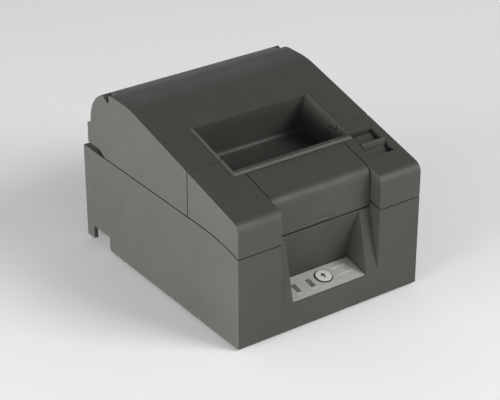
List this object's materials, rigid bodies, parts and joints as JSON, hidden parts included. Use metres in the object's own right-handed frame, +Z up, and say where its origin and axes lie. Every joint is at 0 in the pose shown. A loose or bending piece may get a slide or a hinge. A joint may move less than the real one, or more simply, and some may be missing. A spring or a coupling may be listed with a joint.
{
  "type": "receipt printer",
  "caption": "Desktop receipt printer with clamshell paper cover, cutter flap, release lever, feed button and open roll bin inside a charcoal case.",
  "frame": {"origin": "on the table, under the middle of the case", "axes": "X to the printer's right, Y to its rear, Z up; the control panel faces -Y"},
  "size_m": [0.145, 0.185, 0.122],
  "materials": {
    "casing": "fine matte grain, warm charcoal",
    "panel": "smooth light grey",
    "button": "smooth off-white",
    "lens": "smoked, unlit",
    "inner_plastic": "plain black",
    "sheet_steel": "zinc-plated sheet",
    "bright_steel": "ground and polished",
    "alloy": "extruded bar, plain",
    "platen_rubber": "ground black rubber",
    "foot_rubber": "soft black rubber",
    "gear_plastic": "natural white acetal",
    "knob_plastic": "green thumb gear",
    "board": "green board lacquer",
    "ceramic": "smooth glazed strip"
  },
  "bodies": {
    "base": {"base_case": "casing", "front_cover": "casing", "control_panel": "panel", "power_light": "lens", "error_light": "lens", "paper_bin": "inner_plastic", "paper_guide": "inner_plastic", "near_end_sensor": "inner_plastic", "connector_panel": "inner_plastic", "power_inlet": "inner_plastic", "drawer_jack": "inner_plastic", "switch_housing": "inner_plastic", "bottom_plate": "sheet_steel", "left_side_plate": "sheet_steel", "right_side_plate": "sheet_steel", "chassis_beam": "sheet_steel", "cutter_frame": "sheet_steel", "feed_motor": "sheet_steel", "cutter_motor": "sheet_steel", "bottom_screw_left_front": "bright_steel", "bottom_screw_left_rear": "bright_steel", "bottom_screw_right_front": "bright_steel", "bottom_screw_right_rear": "bright_steel", "idler_stud": "bright_steel", "lever_pin": "bright_steel", "lever_spring": "bright_steel", "head_spring_left": "bright_steel", "head_spring_right": "bright_steel", "data_connector": "bright_steel", "foot_left_front": "foot_rubber", "foot_left_rear": "foot_rubber", "foot_right_front": "foot_rubber", "foot_right_rear": "foot_rubber", "main_board": "board", "panel_board": "board"},
    "paper_cover": {"paper_cover": "casing", "platen_frame": "inner_plastic", "fixed_blade": "bright_steel", "platen_bushing_left": "gear_plastic", "platen_bushing_right": "gear_plastic", "cover_hinge_pin_left": "bright_steel", "cover_hinge_pin_right": "bright_steel"},
    "platen": {"platen_roller": "platen_rubber", "platen_shaft": "bright_steel", "platen_gear": "gear_plastic"},
    "idler": {"idler_gear": "gear_plastic"},
    "motor_pinion": {"motor_pinion": "bright_steel"},
    "cutter_cover": {"cutter_cover": "casing"},
    "open_lever": {"open_lever": "casing"},
    "print_head": {"print_head": "ceramic", "heat_sink": "alloy"},
    "feed_button": {"feed_button": "button"},
    "moving_blade": {"moving_blade": "bright_steel"},
    "cutter_knob": {"cutter_knob": "knob_plastic"},
    "cutter_motor_gear": {"cutter_motor_gear": "gear_plastic"},
    "power_switch": {"power_switch": "inner_plastic"}
  },
  "joints": [
    {"name": "paper_cover_hinge", "type": "hinge", "parent": "base", "child": "paper_cover", "pos_m": [0, 0.082, 0.076], "axis": [-1, 0, 0], "range_deg": [0, 80]},
    {"name": "platen_spin", "type": "hinge", "parent": "paper_cover", "child": "platen", "pos_m": [0, -0.035, 0.0655], "axis": [1, 0, 0], "continuous": true},
    {"name": "idler_spin", "type": "hinge", "parent": "base", "child": "idler", "pos_m": [0, -0.035, 0.0492], "axis": [1, 0, 0], "continuous": true},
    {"name": "motor_pinion_spin", "type": "hinge", "parent": "base", "child": "motor_pinion", "pos_m": [0, -0.02556, 0.0407], "axis": [1, 0, 0], "continuous": true},
    {"name": "cutter_cover_hinge", "type": "hinge", "parent": "base", "child": "cutter_cover", "pos_m": [0, -0.0546, 0.09808], "axis": [-1, 0, 0], "range_deg": [0, 65]},
    {"name": "open_lever_pull", "type": "hinge", "parent": "base", "child": "open_lever", "pos_m": [0, -0.0425, 0.052], "axis": [1, 0, 0], "range_deg": [0, 7], "stiffness_Nm_per_rad": 0.6, "springref_deg": -5.73},
    {"name": "print_head_pivot", "type": "hinge", "parent": "base", "child": "print_head", "pos_m": [0, -0.047, 0.05], "axis": [1, 0, 0], "range_deg": [0, 4], "deforming": ["head_spring_left", "head_spring_right"]},
    {"name": "feed_button_press", "type": "slide", "parent": "base", "child": "feed_button", "axis": [0, 0.1883, -0.9821], "range_m": [0, 0.0008], "stiffness_N_per_m": 400, "springref_m": -0.0005},
    {"name": "cutter_knob_turn", "type": "hinge", "parent": "base", "child": "cutter_knob", "pos_m": [0, -0.0645, 0.0834], "axis": [1, 0, 0], "range_deg": [0, 77]},
    {"name": "moving_blade_slide", "type": "slide", "parent": "base", "child": "moving_blade", "axis": [0, 1, 0], "range_m": [0, 0.00645]},
    {"name": "cutter_motor_spin", "type": "hinge", "parent": "base", "child": "cutter_motor_gear", "pos_m": [0, -0.05576, 0.08658], "axis": [1, 0, 0], "range_deg": [-121, 0]},
    {"name": "power_switch_rock", "type": "hinge", "parent": "base", "child": "power_switch", "pos_m": [0.04, 0.0593, 0.017], "axis": [1, 0, 0], "range_deg": [0, 12]}
  ],
  "couplings": [
    {"joint": "idler_spin", "follows": "platen_spin", "ratio": -0.8},
    {"joint": "motor_pinion_spin", "follows": "platen_spin", "ratio": 2},
    {"joint": "print_head_pivot", "follows": "open_lever_pull", "ratio": 0.55},
    {"joint": "cutter_knob_turn", "follows": "moving_blade_slide", "rad_per_m": 208.33},
    {"joint": "cutter_motor_spin", "follows": "moving_blade_slide", "rad_per_m": -324.07}
  ]
}
